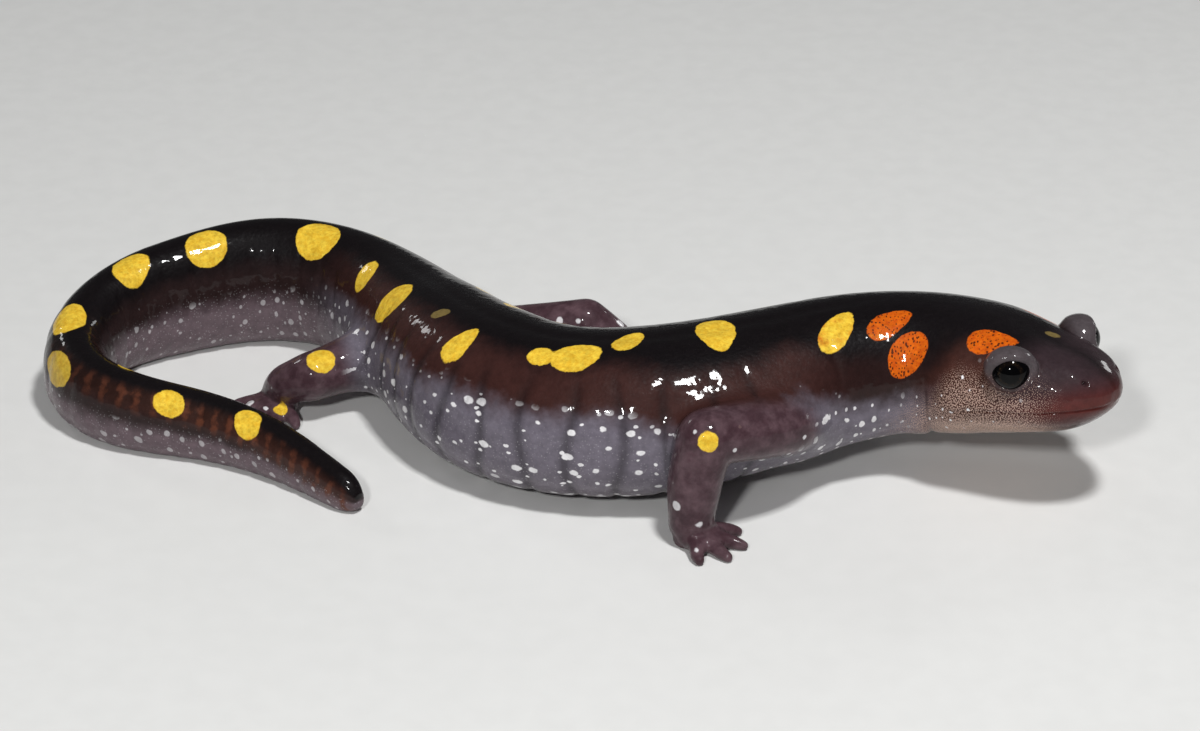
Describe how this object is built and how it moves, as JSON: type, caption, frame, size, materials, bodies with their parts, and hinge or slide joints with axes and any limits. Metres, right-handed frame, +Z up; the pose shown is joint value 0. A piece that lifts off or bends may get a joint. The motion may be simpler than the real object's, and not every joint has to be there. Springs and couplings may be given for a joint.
{
  "type": "spotted salamander",
  "caption": "Life-size spotted salamander at rest: body in an S, head raised and turned, tail curled back beside the hip, bright round spots along a dark glossy back.",
  "frame": {"origin": "middle of the bounding box, on the level that the belly, tail and soles rest on", "axes": "+Z up; +X towards the head end, along the longest extent; the right flank faces -Y"},
  "size_m": [0.1144, 0.0568, 0.0188],
  "materials": {
    "skin": "moist and glossy, near-black back, grey-lavender underside, yellow and orange spots",
    "eye": "wet black, clear cornea"
  },
  "bodies": {
    "root": {"head": "skin", "lower_jaw": "skin", "neck": "skin", "trunk_front": "skin", "trunk_rear": "skin", "pelvis": "skin", "tail_base": "skin", "tail_far": "skin", "tail_turn": "skin", "tail_near": "skin", "tail_tip": "skin", "eye_left": "eye", "eye_right": "eye", "leg_front_right_upper": "skin", "leg_front_right_lower": "skin", "foot_front_right": "skin", "leg_front_left_upper": "skin", "leg_front_left_lower": "skin", "foot_front_left": "skin", "leg_hind_right_upper": "skin", "leg_hind_right_lower": "skin", "foot_hind_right": "skin", "leg_hind_left_upper": "skin", "leg_hind_left_lower": "skin", "foot_hind_left": "skin"}
  },
  "joints": []
}
